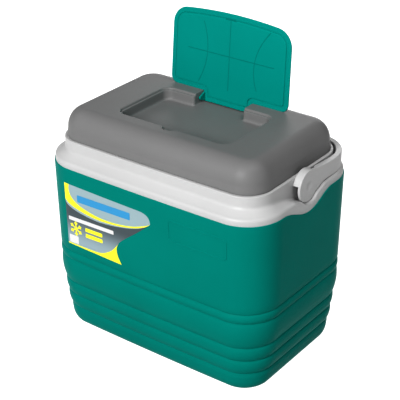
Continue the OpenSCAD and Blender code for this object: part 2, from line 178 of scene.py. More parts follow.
class Skin:
    """Points and faces of one piece while it is being put together."""

    def __init__(self):
        self.points = []
        self.faces = []

    def row(self, points):
        first = len(self.points)
        self.points += [tuple(p) for p in points]
        return list(range(first, len(self.points)))

    def join(self, a, b, closed=True):
        last = len(a) if closed else len(a) - 1
        for i in range(last):
            k = (i + 1) % len(a)
            self.faces.append((a[i], a[k], b[k], b[i]))

    def loft(self, rows, closed=True, loop=False):
        laid = [self.row(points) for points in rows]
        for a, b in zip(laid, laid[1:]):
            self.join(a, b, closed)
        if loop:
            self.join(laid[-1], laid[0], closed)
        return laid

    def cap(self, row):
        self.faces.append(tuple(row))

    def solid(self, rows):
        """Joins rows of points and closes both ends."""
        laid = self.loft(rows)
        self.cap(laid[0])
        self.cap(laid[-1])

    def fill(self, outer, *holes):
        """Flat triangles between an outer row and the rows of its holes."""
        indices = list(outer) + [i for hole in holes for i in hole]
        flat = [Vector(self.points[i][:2]) for i in indices]
        edges, first = [], 0
        for row in (outer, *holes):
            edges += [(first + i, first + (i + 1) % len(row)) for i in range(len(row))]
            first += len(row)
        _, _, triangles, origins, _, _ = delaunay_2d_cdt(flat, edges, [], 1, 1e-7)
        rings = [[self.points[i][:2] for i in hole] for hole in holes]
        for triangle in triangles:
            corners = [indices[origins[i][0]] for i in triangle]
            x = sum(self.points[i][0] for i in corners) / 3
            y = sum(self.points[i][1] for i in corners) / 3
            if not any(inside(x, y, ring) for ring in rings):
                self.faces.append(tuple(corners))


def inside(x, y, ring):
    hit = False
    for i, (ax, ay) in enumerate(ring):
        bx, by = ring[i - 1]
        if (ay > y) != (by > y) and x < (bx - ax) * (y - ay) / (by - ay) + ax:
            hit = not hit
    return hit


def add_piece(name, skin, body, look, stands_for=(), move=None, sharp=32):
    """Makes the object, smooths it, and ties it to its body."""
    mesh = bpy.data.meshes.new(name)
    mesh.from_pydata(skin.points, [], skin.faces)
    shape = bmesh.new()
    shape.from_mesh(mesh)
    bmesh.ops.remove_doubles(shape, verts=shape.verts, dist=2e-6)
    bmesh.ops.dissolve_degenerate(shape, edges=shape.edges, dist=1e-6)
    bmesh.ops.recalc_face_normals(shape, faces=shape.faces)
    shape.to_mesh(mesh)
    shape.free()
    if move is not None:
        mesh.transform(move)
    mesh.shade_smooth()
    mesh.set_sharp_from_angle(angle=math.radians(sharp))
    mesh.materials.append(finish(look))
    piece = bpy.data.objects.new(name, mesh)
    bpy.context.scene.collection.objects.link(piece)
    weighted = piece.modifiers.new("flat faces first", "WEIGHTED_NORMAL")
    weighted.keep_sharp = True
    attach(piece, body)
    if stands_for:
        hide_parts(*stands_for)
    return piece


def rod(skin, radius, ends, centre_y, centre_z, edge=0.4 * MM):
    """A round bar with broken edges, along X."""
    start, end = sorted(ends)
    rows = []
    for r, x in ((radius - edge, start), (radius, start + edge), (radius, end - edge), (radius - edge, end)):
        rows.append([(x, centre_y + y, centre_z + z) for y, z in circle(r, 32)])
    skin.solid(rows)


# ---- materials

def add_node(tree, kind, settings, **attributes):
    """Adds a node. Each setting is a plain value, or the socket that feeds that input."""
    node = tree.nodes.new(kind)
    for name, value in attributes.items():
        setattr(node, name, value)
    for name, value in settings.items():
        if isinstance(value, bpy.types.NodeSocket):
            tree.links.new(value, node.inputs[name])
        else:
            node.inputs[name].default_value = value
    return node


def moulded_group():
    """Moulded plastic: cloudy colour, a fine textured skin, and faint scuffs."""
    group = bpy.data.node_groups.new("moulded plastic", "ShaderNodeTree")
    for label, kind, value in (("Colour", "Color", (0.5, 0.5, 0.5, 1)), ("Cloud", "Float", 0.05),
                               ("Roughness", "Float", 0.4), ("Scuffs", "Float", 0.1),
                               ("Grain Size", "Float", 900.0), ("Grain Depth", "Float", 0.1)):
        socket = group.interface.new_socket(label, in_out="INPUT", socket_type="NodeSocket" + kind)
        socket.default_value = value
    for label, kind in (("Colour", "Color"), ("Roughness", "Float"), ("Normal", "Vector")):
        group.interface.new_socket(label, in_out="OUTPUT", socket_type="NodeSocket" + kind)
    given = group.nodes.new("NodeGroupInput").outputs
    place = group.nodes.new("ShaderNodeTexCoord").outputs["Object"]

    cloud = add_node(group, "ShaderNodeTexNoise", {"Vector": place, "Scale": 9.0, "Detail": 3.0})
    darkest = add_node(group, "ShaderNodeMath", {0: 1.0, 1: given["Cloud"]}, operation="SUBTRACT")
    lightest = add_node(group, "ShaderNodeMath", {0: 1.0, 1: given["Cloud"]}, operation="ADD")
    spread = add_node(group, "ShaderNodeMapRange", {
        "Value": cloud.outputs["Fac"], "From Min": 0.3, "From Max": 0.7,
        "To Min": darkest.outputs[0], "To Max": lightest.outputs[0]})
    tint = add_node(group, "ShaderNodeVectorMath", {0: given["Colour"], "Scale": spread.outputs["Result"]},
                    operation="SCALE")

    streak = add_node(group, "ShaderNodeMapping", {"Vector": place, "Scale": (6.0, 6.0, 1.0)})
    marks = add_node(group, "ShaderNodeTexNoise", {
        "Vector": streak.outputs["Vector"], "Scale": 30.0, "Detail": 6.0, "Roughness": 0.7})
    worn = add_node(group, "ShaderNodeMapRange", {
        "Value": marks.outputs["Fac"], "From Min": 0.52, "From Max": 0.75,
        "To Min": 0.0, "To Max": given["Scuffs"]})
    rough = add_node(group, "ShaderNodeMath", {0: given["Roughness"], 1: worn.outputs["Result"]},
                     operation="ADD", use_clamp=True)

    grain = add_node(group, "ShaderNodeTexNoise", {
        "Vector": place, "Scale": given["Grain Size"], "Detail": 1.0})
    bump = add_node(group, "ShaderNodeBump", {
        "Height": grain.outputs["Fac"], "Strength": given["Grain Depth"], "Distance": 0.0002})
    add_node(group, "NodeGroupOutput", {
        "Colour": tint.outputs["Vector"], "Roughness": rough.outputs[0], "Normal": bump.outputs["Normal"]})
    return group


# Each finish has its colour's name, a factor that darkens it (below 1 only for the mould lines, whose darker
# colour is painted shade in their creases), cloudiness, roughness, scuffs, grain size, grain depth and
# specular level
FINISHES = {
    "teal plastic": ("teal", 1, 0.03, 0.42, 0.08, 700.0, 0.12, 0.025),
    "hatch plastic": ("hatch", 1, 0.03, 0.42, 0.08, 700.0, 0.12, 0.05),
    # The mould lines are the hatch's teal made a quarter darker: painted shade in the creases of the ridges
    "mould line plastic": ("hatch", 0.75, 0.03, 0.5, 0.08, 700.0, 0.12, 0.05),
    "grey plastic": ("lid", 1, 0.03, 0.5, 0.08, 1100.0, 0.2, 0.3),
    "white plastic": ("collar", 1, 0.02, 0.45, 0.06, 900.0, 0.1, 0.5),
    "poured foam": ("foam", 1, 0.08, 0.85, 0.1, 1500.0, 0.8, 0.2),
}
INKS = {"silver": 0.02, "slate": 0.02, "yellow": 0.01, "white": 0.01, "blue": 0.01}
for ink, cloudiness in INKS.items():
    FINISHES["sticker " + ink] = (ink, 1, cloudiness, 0.3, 0.05, 300.0, 0.02, 0.5)


def finish(name):
    """The material of a finish, made the first time it is asked for."""
    if name in bpy.data.materials:
        return bpy.data.materials[name]
    part, shade, cloud, rough, scuffs, size, depth, specular = FINISHES[name]
    colour = [shade * value for value in getattr(bpy.context.scene.cooler_colours, part)]
    material = bpy.data.materials.new(name)
    material.use_nodes = True
    tree = material.node_tree
    effect = add_node(tree, "ShaderNodeGroup", {
        "Colour": (*colour, 1), "Cloud": cloud, "Roughness": rough, "Scuffs": scuffs,
        "Grain Size": size, "Grain Depth": depth},
        node_tree=bpy.data.node_groups.get("moulded plastic") or moulded_group())
    surface = tree.nodes["Principled BSDF"]
    surface.inputs["Specular IOR Level"].default_value = specular
    for made, taken in (("Colour", "Base Color"), ("Roughness", "Roughness"), ("Normal", "Normal")):
        tree.links.new(effect.outputs[made], surface.inputs[taken])
    return material


# ---- shell

def rib(low, high, bulge, steps=12):
    """Points of a rounded rib between two groove bottoms, each (inset, height) in millimetres."""
    points = []
    for i in range(1, steps):
        t = i / steps
        push = bulge * math.sin(math.pi * t) ** 0.6
        points.append((low[0] + t * (high[0] - low[0]) - push, low[1] + t * (high[1] - low[1])))
    return points


# Bottom of each groove as (inset, height), and how far the ribs between them swell out, in millimetres
GROOVES = [(15, 24), (15.8, 35.8), (12, 62.4), (9, 88.2), (4.6, 137), (4.4, 153.4)]
BULGES = [0.8, 3.8, 3.4, 4.4, 2.7]
FOOT_INSET, FOOT_W, FOOT_H = 30, 15, 24
WALL_FOOT_Z = 158 * MM
WALL_ROWS = 15
# The lip's section as (inset, height from the shell's top), in millimetres
LIP = [(0.25, -0.3), (0.9, 0), (1.7, 0), (2.2, -0.5), (2.4, -14)]
FILL_HOLE_R = 9.1 * MM
FLOOR_T = 2 * MM
# The collar's flange drops round a hub, further to the front than to the back
END_ZONE = 40 * MM
LOBE_Y = -3 * MM
LOBE_FRONT, LOBE_BACK = 74 * MM, 66 * MM
LOBE_DROP = 20 * MM
BADGE_LOW, BADGE_HIGH = (53 * MM, 249 * MM), (161 * MM, 284 * MM)
BADGE_R = 5 * MM
BADGE_HALF = 1.3 * MM
BADGE_SINK = 0.6 * MM


def shell_profile():
    """Foot and ribs of the shell as (inset, height), from the ground up to the plain wall."""
    foot = [math.pi / 2 * (1 - i / 8) for i in range(8)]
    points = [(FOOT_INSET - FOOT_W * math.cos(a), FOOT_H * (1 - math.sin(a))) for a in foot] + [GROOVES[0]]
    for low, high, bulge in zip(GROOVES, GROOVES[1:], BULGES):
        points += rib(low, high, bulge)
        points.append(high)
    return [(inset * MM, z * MM) for inset, z in points]


def lobe_drop(x, y):
    """How far the collar's flange drops round a handle hub."""
    past = y - LOBE_Y
    reach = LOBE_BACK if past > 0 else LOBE_FRONT
    if abs(x) < HALF_L - END_ZONE or abs(past) > reach:
        return 0.0
    return LOBE_DROP * (1 + math.cos(math.pi * past / reach)) / 2


class COOLER_OT_shell(bpy.types.Operator):
    """Builds the teal outer shell with its grooves, ribs and rounded lip"""
    bl_idname = "cooler.shell"
    bl_label = "Outer Shell"

    def execute(self, context):
        skin = Skin()
        rows = [bowed(inset, z) for inset, z in shell_profile()]
        for i in range(WALL_ROWS):
            t = i / (WALL_ROWS - 1)
            row = []
            for x, y in body_outline(wall_inset(WALL_FOOT_Z + t * (SHELL_TOP - WALL_FOOT_Z))):
                z = WALL_FOOT_Z + t * (SHELL_TOP - lobe_drop(x, y) - 0.9 * MM - WALL_FOOT_Z)
                row.append((x, y + bow(x, y), z))
            rows.append(row)
        for inset, dz in LIP:
            rows.append([(x, y + bow(x, y), SHELL_TOP - lobe_drop(x, y) + dz * MM)
                         for x, y in body_outline(inset * MM)])
        laid = skin.loft(rows)
        hole = [(x, y, 0.0) for x, y in circle(FILL_HOLE_R, 48)]
        mouth = skin.row(hole)
        skin.fill(laid[0], mouth)
        skin.join(mouth, skin.row([(x, y, FLOOR_T) for x, y, _ in hole]))
        add_piece("shell_moulding", skin, "cooler_body", "teal plastic", ["outer_shell"])
        self.badge()
        return {"FINISHED"}

    def badge(self):
        """A plain raised frame on the front wall."""
        skin = Skin()
        (left, low), (right, high) = BADGE_LOW, BADGE_HIGH
        corners = [(left, low, BADGE_R), (right, low, BADGE_R), (right, high, BADGE_R), (left, high, BADGE_R)]
        height = bpy.context.scene.cooler_sizes.badge_height
        rows = []
        for i in range(9):
            a = math.pi * i / 8
            ring = filleted(corners, BADGE_HALF * math.cos(a), 6, [24, 8, 24, 8])
            rows.append([front_wall(x, z, height * math.sin(a)) for x, z in ring])
        rows.append([front_wall(x, z, -BADGE_SINK) for x, z in filleted(corners, 0, 6, [24, 8, 24, 8])])
        skin.loft(rows, loop=True)
        add_piece("badge_frame", skin, "cooler_body", "teal plastic")


# ---- collar

POCKET_R = 27.5 * MM
DIP_REACH = 100 * MM
RIM_LIP = 7.5 * MM
BOSS_R = 9 * MM
BOSS_END = 208.8 * MM
WALL_FOOT = SHELL_TOP + 21 * MM
LEDGE_EDGE = SHELL_TOP + 10.5 * MM


def dip_z(x, y):
    """Height of the dished ledge round a hub, or a great height away from the ends."""
    if abs(x) < HALF_L - END_ZONE or abs(y) > DIP_REACH:
        return 1.0
    low = PIVOT_Z - POCKET_R
    ramp = low + (WALL_FOOT - low) * math.sin(math.pi / 2 * min(abs(y) / DIP_REACH, 1))
    if abs(y) < POCKET_R:
        return min(ramp, PIVOT_Z - math.sqrt(POCKET_R ** 2 - y * y))
    return ramp


def curve(start, handle, end, steps):
    """Points of a quadratic curve between two (inset, height) points."""
    points = []
    for i in range(steps + 1):
        t = i / steps
        points.append(tuple((1 - t) ** 2 * a + 2 * t * (1 - t) * b + t * t * c
                            for a, b, c in zip(start, handle, end)))
    return points


def collar_section(x, y):
    """The collar's section at a place on the outline, from inside its lip to behind the shell."""
    dip = dip_z(x, y)
    wall = (RIM_INSET, min(WALL_FOOT, dip))
    edge = (FLANGE_INSET + 2.5 * MM, min(LEDGE_EDGE, dip))
    inner = RIM_INSET + RIM_LIP
    slope = Vector(edge) - Vector(wall)
    after_wall = tuple(Vector(wall) + slope.normalized() * 4 * MM)
    before_edge = tuple(Vector(edge) - slope.normalized() * 3.5 * MM)
    flange = SHELL_TOP - lobe_drop(x, y)
    return ([(inner, RIM_Z - 3 * MM), (inner, RIM_Z - 1 * MM), (inner - 0.4 * MM, RIM_Z - 0.15 * MM),
             (inner - 1 * MM, RIM_Z), (RIM_INSET + 1.3 * MM, RIM_Z)]
            + curve((RIM_INSET + 1.3 * MM, RIM_Z), (RIM_INSET, RIM_Z), (RIM_INSET, RIM_Z - 1.3 * MM), 4)[1:]
            + [(RIM_INSET, (RIM_Z + wall[1]) / 2)]
            + curve((RIM_INSET, wall[1] + 4 * MM), wall, after_wall, 5)
            + curve(before_edge, (FLANGE_INSET, edge[1] + 0.4 * MM), (FLANGE_INSET, edge[1] - 4.5 * MM), 6)
            + [(FLANGE_INSET, flange + 0.5 * MM), (FLANGE_INSET, flange - 1.5 * MM),
               (FLANGE_INSET + 3 * MM, flange - 1.5 * MM), (FLANGE_INSET + 5 * MM, edge[1] - 5 * MM),
               (RIM_INSET + 2 * MM, wall[1] - 4 * MM), (inner - 1 * MM, wall[1] - 2 * MM)])


class COOLER_OT_collar(bpy.types.Operator):
    """Builds the white collar with its ledge, dished round the handle's hubs"""
    bl_idname = "cooler.collar"
    bl_label = "Collar"

    def execute(self, context):
        skin = Skin()
        places = body_outline(FLANGE_INSET)
        sections = [collar_section(x, y) for x, y in places]
        outlines, rows = {}, []
        for k in range(len(sections[0])):
            row = []
            for i, section in enumerate(sections):
                inset, z = section[k]
                key = round(inset / MM, 4)
                if key not in outlines:
                    outlines[key] = body_outline(inset)
                x, y = outlines[key][i]
                row.append((x, y + bow(x, y, inset), z))
            rows.append(row)
        skin.loft(rows, loop=True)
        for side in (-1, 1):
            rod(skin, BOSS_R, (side * (HALF_L - RIM_INSET - 1 * MM), side * BOSS_END), 0, PIVOT_Z)
        add_piece("collar_moulding", skin, "cooler_body", "white plastic", ["collar"])
        return {"FINISHED"}


# ---- handle

HUB_R = 26.5 * MM
HUB_T = 4.2 * MM
HUB_EDGE = 0.7 * MM
DIMPLE_R = 9.5 * MM
SKIRT_FROM, SKIRT_TO = 165, 58
SKIRT_T = 3 * MM
BAIL_INSET = 5.5 * MM
HUB_X = HALF_L - BAIL_INSET
PIN_R = 5 * MM
PIN_END = HALF_L - RIM_INSET - RIM_WALL + 0.5 * MM
BAND_TOP = PIVOT_Z + 18.5 * MM
BAND_LOW = SHELL_TOP + 12.6 * MM
BAND_EDGE = 1.3 * MM
ARM_SINK = 0.06 * MM
ARM_START = 9 * MM
# Where an arm's upper edge leaves the hub, and how far before the corner it meets the band
ARM_ROOT = (2.3 * MM, PIVOT_Z + 26.4 * MM)
ARM_JOIN = 4 * MM
LEDGE_GAP = 1.3 * MM


def band_layers(thickness):
    """(depth, pull-in) pairs across the band, from its outer face to its inner face."""
    outer = [(BAND_EDGE * (1 - math.cos(a)), BAND_EDGE * (1 - math.sin(a))) for a in quarter(4)]
    return outer + [(thickness - d, o) for d, o in reversed(outer)]


def arm_lines():
    """Upper and lower edge of an arm as (y, z), from its hub to the corner."""
    end = HALF_W - CORNER_R
    root, join = ARM_ROOT, (end - ARM_JOIN, BAND_TOP)
    upper, lower = [], []
    for i in range(31):
        y = ARM_START + (end - ARM_START) * i / 30
        along = min((y - root[0]) / (join[0] - root[0]), 1)
        upper.append((y, root[1] + (join[1] - root[1]) * (2 * along - along ** 2)))
        edge = min(dip_z(HALF_L, y) + LEDGE_GAP, BAND_LOW)
        if y < HUB_R * 0.75:
            edge = max(edge, PIVOT_Z - math.sqrt(HUB_R ** 2 - y * y) + 0.6 * MM)
        lower.append((y, edge))
    return upper, lower


def pulled_in(line, amount, side):
    """A line of (y, z) points moved towards its inside, which is below it for side 1."""
    moved = []
    for i, (y, z) in enumerate(line):
        ay, az = line[max(i - 1, 0)]
        by, bz = line[min(i + 1, len(line) - 1)]
        along = Vector((by - ay, bz - az)).normalized()
        moved.append((y + side * along.y * amount, z - side * along.x * amount))
    return moved


class COOLER_OT_handle(bpy.types.Operator):
    """Builds the white bail: two hubs with skirts and pins, two arms and the band round the back"""
    bl_idname = "cooler.handle"
    bl_label = "Handle"

    def execute(self, context):
        skin = Skin()
        thickness = context.scene.cooler_sizes.bail_thickness
        upper, lower = arm_lines()
        arms = {}
        for side in (1, -1):
            arms[side] = []
            for i, (y, _) in enumerate(upper):
                thick = HUB_T + (thickness - HUB_T) * smooth_step((y - 16 * MM) / (14 * MM))
                arms[side].append(self.station(upper, lower, i, thick, side))
        rows = arms[1] + self.corner(1, thickness)
        for i in range(1, 24):
            x = (HALF_L - CORNER_R) * (1 - 2 * i / 24)
            y = HALF_W - BAIL_INSET
            rows.append(self.cross((x, y + bow(x, y)), (0, 1), thickness))
        rows += self.corner(-1, thickness) + arms[-1][::-1]
        skin.solid(rows)
        for side in (-1, 1):
            self.hub(skin, side)
            self.skirt(skin, side)
            rod(skin, PIN_R, (side * PIN_END, side * (HUB_X - 2 * MM)), 0, PIVOT_Z)
        add_piece("handle_moulding", skin, "handle", "white plastic", ["handle"])
        return {"FINISHED"}

    def station(self, upper, lower, i, thick, side):
        """The section's points at one place along an arm."""
        layers = band_layers(thick)
        top = [(side * (HUB_X - ARM_SINK - d), *pulled_in(upper, o, 1)[i]) for d, o in layers]
        low = [(side * (HUB_X - ARM_SINK - d), *pulled_in(lower, o, -1)[i]) for d, o in layers]
        return top + low[::-1]

    def cross(self, outer, facing, thickness):
        """The section at a place (x, y) on the band's outer line, facing outwards."""
        layers = [(ARM_SINK + d, o) for d, o in band_layers(thickness)]
        top = [(outer[0] - facing[0] * d, outer[1] - facing[1] * d, BAND_TOP - o) for d, o in layers]
        low = [(outer[0] - facing[0] * d, outer[1] - facing[1] * d, BAND_LOW + o) for d, o in layers]
        return top + low[::-1]

    def corner(self, side, thickness):
        """The band's sections round one rear corner."""
        rows = []
        radius = CORNER_R - BAIL_INSET
        turns = quarter(CORNER_STEPS)[1:]
        for a in turns if side > 0 else reversed(turns):
            facing = (side * math.cos(a), math.sin(a))
            x = side * (HALF_L - CORNER_R) + facing[0] * radius
            y = HALF_W - CORNER_R + facing[1] * radius
            rows.append(self.cross((x, y + bow(x, y)), facing, thickness))
        return rows

    def hub(self, skin, side):
        """The hub's disc, with a shallow dimple in the middle of its face."""
        dimple = bpy.context.scene.cooler_sizes.dimple_depth
        profile = [(0.01 * MM, dimple)]
        profile += [(DIMPLE_R * t, dimple * (1 - smooth_step(t)))
                    for t in (0.15, 0.3, 0.45, 0.6, 0.75, 0.9, 1)]
        profile += [(18 * MM, 0)]
        profile += [(HUB_R - HUB_EDGE * (1 - math.sin(a)), HUB_EDGE * (1 - math.cos(a))) for a in quarter(4)]
        profile += [(HUB_R, HUB_T - 0.4 * MM), (HUB_R - 0.4 * MM, HUB_T), (8 * MM, HUB_T)]
        rows = []
        for r, depth in profile:
            rows.append([(side * (HUB_X - depth), y, PIVOT_Z + z) for y, z in circle(r, 96)])
        skin.solid(rows)

    def skirt(self, skin, side):
        """Half ring behind the top of a hub."""
        outer, inner = HUB_R - 0.1 * MM, HUB_R - SKIRT_T
        depths = (1.6 * MM, 13 * MM, 13.6 * MM)
        rows = []
        for i in range(37):
            a = math.radians(SKIRT_FROM - i * (SKIRT_FROM - SKIRT_TO) / 36)
            section = [(outer, depths[0]), (outer, depths[1]), (outer - 0.6 * MM, depths[2]),
                       (inner + 0.6 * MM, depths[2]), (inner, depths[1]), (inner, depths[0])]
            rows.append([(side * (HUB_X - d), r * math.cos(a), PIVOT_Z + r * math.sin(a))
                         for r, d in section])
        skin.solid(rows)


# ---- lid

LID_INSET = 23.5 * MM
LID_SIDE_IN = 1.7 * MM
LID_SIDE_H = 14 * MM
LID_ROUND = 28.2 * MM
TRAY_FLOOR = LID_TOP - 20 * MM
THUMB_FLOOR = LID_TOP - 9 * MM
# The tray's outline with its thumb recess in front and its notch behind, as (x, y, radius) in millimetres
TRAY_CORNERS = [(-109, -71.5, 17), (-11, -71.5, 3), (-10, -80.5, 7), (10, -80.5, 7), (11, -71.5, 3),
                (109, -71.5, 17), (109, 60, 17), (49, 60, 2.5), (49, 88.2, 3), (-49, 88.2, 3),
                (-49, 60, 2.5), (-109, 60, 17)]
TRAY_CORNERS = [(x * MM, y * MM, r * MM) for x, y, r in TRAY_CORNERS]
# The step round the tray's rim runs along these edges and stops at the notch
TRAY_STEPPED = [1, 0, 0, 0, 1, 1, 1, 0, 0, 0, 1, 1]
TRAY_ROUND = [1, 0.5, 0.5, 0.5, 1, 1, 1, 0.3, 0.3, 0.3, 1, 1]


class COOLER_OT_lid(bpy.types.Operator):
    """Builds the grey domed lid with its tray, notch and thumb recess"""
    bl_idname = "cooler.lid"
    bl_label = "Lid"

    def execute(self, context):
        skin = Skin()
        low_inset, side_inset = LID_INSET, LID_INSET + LID_SIDE_IN
        side_z = RIM_Z + LID_SIDE_H
        profile = [(low_inset + 2.2 * MM, RIM_Z + 3 * MM), (low_inset + 2.2 * MM, RIM_Z + 0.3 * MM),
                   (low_inset + 1 * MM, RIM_Z + 0.05 * MM), (low_inset + 0.3 * MM, RIM_Z + 0.3 * MM),
                   (low_inset, RIM_Z + 1.2 * MM)]
        for t in (i / 6 for i in range(1, 6)):
            z = RIM_Z + 1.2 * MM + t * (LID_SIDE_H - 1.2 * MM)
            profile.append((low_inset + LID_SIDE_IN * t ** 1.2, z))
        profile += [(side_inset + x, side_z + z) for x, z in arc(LID_ROUND, LID_TOP - side_z, 18)]
        profile.append((profile[-1][0] + 0.6 * MM, LID_TOP))
        laid = skin.loft([bowed(inset, z) for inset, z in profile])
        rim = self.tray(skin)
        skin.fill(laid[-1], rim)
        self.thumb_shelf(skin)
        add_piece("lid_moulding", skin, "lid", "grey plastic", ["lid_shell"])
        return {"FINISHED"}

    def thumb_shelf(self, skin):
        """The floor of the thumb recess, higher than the tray's."""
        half, front, back = 12 * MM, -84 * MM, -72.5 * MM
        corners = [(x, y, MM) for x, y in ((-half, front), (half, front), (half, back), (-half, back))]
        layers = [(0, TRAY_FLOOR), (0, THUMB_FLOOR - 1 * MM), (-1 * MM, THUMB_FLOOR)]
        skin.solid([[(x, y, z) for x, y in filleted(corners, offset, 3)] for offset, z in layers])

    def tray(self, skin):
        """The tray, sunk from the lid's top. Returns the row of its rim."""
        layers = [(3.4, 0, 0)]
        layers += [(2.4 - 2.4 * math.sin(a), 0, 2.4 * (1 - math.cos(a))) for a in quarter(5)]
        layers += [(0, -0.3, 3.2), (0, -2.4, 3.5), (0, -3.0, 3.8), (0, -3.4, 4.6)]
        layers += [(0, -3.4 - 0.06 * (d - 4.6), d) for d in (8, 12, 15)]
        layers += [(0, -4.1 - 4.4 * (1 - math.cos(a)), 15.6 + 4.4 * math.sin(a)) for a in quarter(5)[1:]]
        rows = []
        for whole, stepped, depth in layers:
            floor_pull = min(stepped + 4.1, 0) if depth > 15 else 0
            offsets = [(whole * r + (stepped if s else floor_pull * 0.5)) * MM
                       for s, r in zip(TRAY_STEPPED, TRAY_ROUND)]
            rows.append([(x, y, LID_TOP - depth * MM) for x, y in filleted(TRAY_CORNERS, offsets, 8)])
        laid = skin.loft(rows)
        skin.fill(laid[-1])
        return laid[0]


# ---- hatch

HATCH_HALF = 117.4 * MM
HATCH_FRONT, HATCH_BACK = -68.4 * MM, 62.6 * MM
TAB_HALF = 48.4 * MM
TAB_BACK = HINGE_Y + 7.8 * MM
HATCH_GAP = 0.2 * MM
HATCH_T = 3 * MM
# The panel's underside is sunk inside its rim, with a groove along it: (offset, height) in millimetres
UNDERSIDE = [(-13, -0.9), (-10.4, -0.9), (-9.6, -0.5), (-9.0, 0.9), (-8.2, 0.9), (-7.6, 0.1),
             (-7.0, 0), (-2.4, 0)]
EAR_R = 3.5 * MM
EAR_T = 3 * MM
HINGE_PIN_R = 2.5 * MM
# Moulding lines on the underside: three places along each of two arcs, in millimetres
ARCS = (((-52.8, -56), (-43.5, -10.6), (-60, 48)), ((77, -62), (49.7, -9), (56, 40)))


class COOLER_OT_hatch(bpy.types.Operator):
    """Builds the teal hatch, its tab, hinge ears and the ribs moulded on its underside"""
    bl_idname = "cooler.hatch"
    bl_label = "Hatch"

    def execute(self, context):
        skin = Skin()
        low = LID_TOP + HATCH_GAP
        high = low + HATCH_T
        front_half = HATCH_HALF - 2 * MM
        corners = [(-front_half, HATCH_FRONT, 26 * MM), (front_half, HATCH_FRONT, 26 * MM),
                   (HATCH_HALF, HATCH_BACK, 13 * MM), (TAB_HALF, HATCH_BACK, 1.5 * MM),
                   (TAB_HALF, TAB_BACK, 3 * MM), (-TAB_HALF, TAB_BACK, 3 * MM),
                   (-TAB_HALF, HATCH_BACK, 1.5 * MM), (-HATCH_HALF, HATCH_BACK, 13 * MM)]
        edge = 1.1 * MM
        layers = [(offset * MM, low + height * MM) for offset, height in UNDERSIDE]
        layers += [(-edge * (1 - math.sin(a)), low + edge * (1 - math.cos(a))) for a in quarter(4)]
        layers += [(-edge * (1 - math.cos(a)), high - edge * (1 - math.sin(a))) for a in quarter(4)]
        layers.append((-3 * MM, high))
        splits = [24, 1, 1, 1, 1, 1, 1, 1]
        rows = []
        for offset, z in layers:
            rows.append([(x, y - self.crown(x, y), z) for x, y in filleted(corners, offset, 8, splits)])
        laid = skin.loft(rows)
        skin.fill(laid[0])
        skin.fill(laid[-1])
        for side in (-1, 1):
            self.ear(skin, side)
        opened = (Matrix.Translation((0, HINGE_Y, HINGE_Z)) @ Matrix.Rotation(-HATCH_OPEN, 4, "X")
                  @ Matrix.Translation((0, -HINGE_Y, -HINGE_Z)))
        add_piece("hatch_moulding", skin, "hatch", "hatch plastic", ["hatch"], opened)
        self.ridges(low, opened)
        return {"FINISHED"}

    def crown(self, x, y):
        """How far the front edge bows forwards at a place."""
        most = bpy.context.scene.cooler_sizes.hatch_crown
        near = smooth_step(1 - (y - HATCH_FRONT) / (60 * MM))
        return most * (1 - (x / (116 * MM)) ** 2) * near

    def ear(self, skin, side):
        """Lug that carries a moulded hinge pin."""
        inner, outer = sorted((side * (TAB_HALF - EAR_T), side * TAB_HALF))
        top = LID_TOP + 1 * MM
        outline = [(HINGE_Y + 7 * MM, top), (HINGE_Y - 9 * MM, top)]
        outline += [(HINGE_Y + EAR_R * math.cos(a), HINGE_Z + EAR_R * math.sin(a))
                    for a in (math.pi + math.pi * i / 12 for i in range(13))]
        skin.solid([[(x, y, z) for y, z in outline] for x in (inner, outer)])
        rod(skin, HINGE_PIN_R, (side * 48 * MM, side * 51.4 * MM), HINGE_Y, HINGE_Z)

    def through(self, start, middle, end, t):
        """A point of the parabola through three places, along its length."""
        (ax, ay), (mx, my), (bx, by) = start, middle, end
        y = ay + (by - ay) * t
        x = (ax * (y - my) * (y - by) / ((ay - my) * (ay - by)) + mx * (y - ay) * (y - by)
             / ((my - ay) * (my - by)) + bx * (y - ay) * (y - my) / ((by - ay) * (by - my)))
        return (x * MM, y * MM)

    def ridges(self, low, opened):
        """Fine moulding lines on the underside: a cross and two arcs, coloured a quarter darker than the
        hatch as painted shade in their creases.
        """
        skin = Skin()
        face = low - 0.9 * MM
        front, back = -66 * MM, 52 * MM
        lines = [[(0, front + (back - front) * i / 12) for i in range(13)],
                 [(-83 * MM + 170 * MM * i / 12, -6 * MM) for i in range(13)],
                 [(-10 * MM + 20 * MM * i / 4, front - 1 * MM) for i in range(5)]]
        for places in ARCS:
            lines.append([self.through(*places, i / 24) for i in range(25)])
        for line in lines:
            rows = []
            for i, (x, y) in enumerate(line):
                ax, ay = line[max(i - 1, 0)]
                bx, by = line[min(i + 1, len(line) - 1)]
                along = Vector((bx - ax, by - ay)).normalized()
                section = [(-0.9, 0.2), (-0.5, -0.2), (0, -0.34), (0.5, -0.2), (0.9, 0.2)]
                rows.append([(x + along.y * s * MM, y - along.x * s * MM, face + h * MM)
                             for s, h in section])
            skin.solid(rows)
        # The lines' material is the hatch's teal made darker, as painted shade in their creases
        add_piece("hatch_mould_lines", skin, "hatch", "mould line plastic",
                  move=opened, sharp=60)


# ---- sticker

